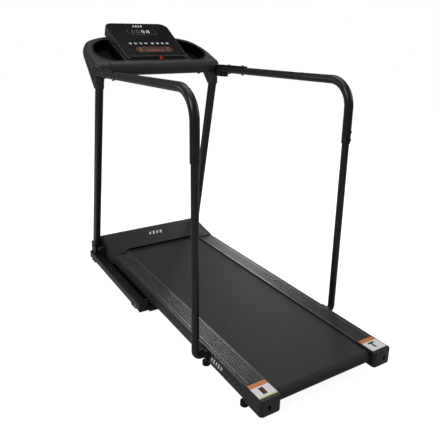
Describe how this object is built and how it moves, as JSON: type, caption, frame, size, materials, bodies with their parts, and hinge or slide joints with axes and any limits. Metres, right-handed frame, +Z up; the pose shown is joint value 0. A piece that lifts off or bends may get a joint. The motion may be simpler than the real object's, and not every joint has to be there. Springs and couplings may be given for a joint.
{
  "type": "treadmill",
  "caption": "Folding treadmill with a running belt, tilted console with side trays, and long handrails that come down to the deck.",
  "frame": {"origin": "on the floor, at the middle of the bounding box seen from above", "axes": "+Z up, +Y from the runner towards the console, +X to the runner's right"},
  "size_m": [0.698, 1.6038, 1.2643],
  "materials": {
    "frame_paint": "satin black powder coat",
    "black_fastener": "black oxide",
    "bright_steel": "machined",
    "shell_plastic": "fine satin texture",
    "tray_plastic": "deep black matte",
    "rail_plastic": "ribbed satin",
    "cap_plastic": "matte black",
    "display_gloss": "gloss black",
    "key_red": "satin red",
    "button_print": "gloss black with a white ring",
    "belt_rubber": "fine diamond texture",
    "board_wood": "waxed fibreboard",
    "black_rubber": "matte",
    "wheel_plastic": "satin",
    "motor_paint": "satin grey",
    "heat_sink": "extruded",
    "circuit_board": "coated"
  },
  "bodies": {
    "frame": {"base_frame": "frame_paint", "upright_sockets": "frame_paint", "upright_left": "frame_paint", "upright_right": "frame_paint", "handrail_left": "frame_paint", "handrail_right": "frame_paint", "post_left": "frame_paint", "post_right": "frame_paint", "rail_brackets": "frame_paint", "frame_bolts": "black_fastener", "lock_housing": "black_fastener", "pivot_pins": "bright_steel", "console_upper": "shell_plastic", "console_lower": "shell_plastic", "console_necks": "shell_plastic", "front_grip": "shell_plastic", "display_housing": "shell_plastic", "tray_left": "tray_plastic", "tray_right": "tray_plastic", "base_end_caps": "cap_plastic", "key_socket": "cap_plastic", "display_lens": "display_gloss", "base_feet": "black_rubber", "display_board": "circuit_board"},
    "deck": {"deck_frame": "frame_paint", "running_board": "board_wood", "board_cushions": "black_rubber", "running_belt": "belt_rubber", "roller_axles": "bright_steel", "belt_adjusters": "black_fastener", "foot_rail_left": "rail_plastic", "foot_rail_right": "rail_plastic", "rail_screws": "black_fastener", "rear_cap_left": "cap_plastic", "rear_cap_right": "cap_plastic", "deck_feet": "black_rubber", "post_saddles": "frame_paint", "motor_hood": "shell_plastic", "belly_pan": "cap_plastic", "drive_motor": "motor_paint", "drive_belt": "black_rubber", "motor_controller": "heat_sink", "power_entry": "cap_plastic"},
    "front_roller": {"front_roller": "bright_steel", "roller_pulley": "bright_steel"},
    "rear_roller": {"rear_roller": "bright_steel"},
    "motor_rotor": {"motor_pulley": "bright_steel"},
    "power_switch": {"power_switch": "cap_plastic"},
    "wheel_left": {"transport_wheel_left": "wheel_plastic"},
    "wheel_right": {"transport_wheel_right": "wheel_plastic"},
    "lock_knob": {"lock_knob": "cap_plastic"},
    "safety_key": {"safety_key": "key_red"},
    "button_incline_down": {"button_incline_down": "button_print"},
    "button_speed_down": {"button_speed_down": "button_print"},
    "button_mode": {"button_mode": "button_print"},
    "button_start": {"button_start": "button_print"},
    "button_stop": {"button_stop": "button_print"},
    "button_program": {"button_program": "button_print"},
    "button_speed_up": {"button_speed_up": "button_print"},
    "button_incline_up": {"button_incline_up": "button_print"}
  },
  "joints": [
    {"name": "deck_fold", "type": "hinge", "parent": "frame", "child": "deck", "pos_m": [0, 0.6381, 0.084], "axis": [-1, 0, 0], "range_deg": [0, 72]},
    {"name": "front_roller_spin", "type": "hinge", "parent": "deck", "child": "front_roller", "pos_m": [0, 0.5281, 0.084], "axis": [1, 0, 0], "continuous": true},
    {"name": "rear_roller_spin", "type": "hinge", "parent": "deck", "child": "rear_roller", "pos_m": [0, -0.7619, 0.084], "axis": [1, 0, 0], "continuous": true},
    {"name": "motor_spin", "type": "hinge", "parent": "deck", "child": "motor_rotor", "pos_m": [-0.19, 0.6041, 0.091], "axis": [1, 0, 0], "continuous": true},
    {"name": "power_rocker", "type": "hinge", "parent": "deck", "child": "power_switch", "pos_m": [-0.161, 0.6931, 0.081], "axis": [1, 0, 0], "range_deg": [0, 12]},
    {"name": "wheel_left_spin", "type": "hinge", "parent": "frame", "child": "wheel_left", "pos_m": [-0.283, 0.0821, 0.023], "axis": [1, 0, 0], "continuous": true},
    {"name": "wheel_right_spin", "type": "hinge", "parent": "frame", "child": "wheel_right", "pos_m": [0.283, 0.0821, 0.023], "axis": [1, 0, 0], "continuous": true},
    {"name": "lock_pull", "type": "slide", "parent": "frame", "child": "lock_knob", "axis": [-1, 0, 0], "range_m": [0, 0.008], "stiffness_N_per_m": 800},
    {"name": "key_pull", "type": "slide", "parent": "frame", "child": "safety_key", "axis": [0, -0.3907, 0.9205], "range_m": [0, 0.02]},
    {"name": "incline_down_press", "type": "slide", "parent": "frame", "child": "button_incline_down", "axis": [0, 0.5, -0.866], "range_m": [0, 0.001], "stiffness_N_per_m": 300},
    {"name": "speed_down_press", "type": "slide", "parent": "frame", "child": "button_speed_down", "axis": [0, 0.5, -0.866], "range_m": [0, 0.001], "stiffness_N_per_m": 300},
    {"name": "mode_press", "type": "slide", "parent": "frame", "child": "button_mode", "axis": [0, 0.5, -0.866], "range_m": [0, 0.001], "stiffness_N_per_m": 300},
    {"name": "start_press", "type": "slide", "parent": "frame", "child": "button_start", "axis": [0, 0.5, -0.866], "range_m": [0, 0.001], "stiffness_N_per_m": 300},
    {"name": "stop_press", "type": "slide", "parent": "frame", "child": "button_stop", "axis": [0, 0.5, -0.866], "range_m": [0, 0.001], "stiffness_N_per_m": 300},
    {"name": "program_press", "type": "slide", "parent": "frame", "child": "button_program", "axis": [0, 0.5, -0.866], "range_m": [0, 0.001], "stiffness_N_per_m": 300},
    {"name": "speed_up_press", "type": "slide", "parent": "frame", "child": "button_speed_up", "axis": [0, 0.5, -0.866], "range_m": [0, 0.001], "stiffness_N_per_m": 300},
    {"name": "incline_up_press", "type": "slide", "parent": "frame", "child": "button_incline_up", "axis": [0, 0.5, -0.866], "range_m": [0, 0.001], "stiffness_N_per_m": 300}
  ],
  "couplings": [
    {"joint": "rear_roller_spin", "follows": "front_roller_spin", "ratio": 1},
    {"joint": "motor_spin", "follows": "front_roller_spin", "ratio": 2}
  ]
}
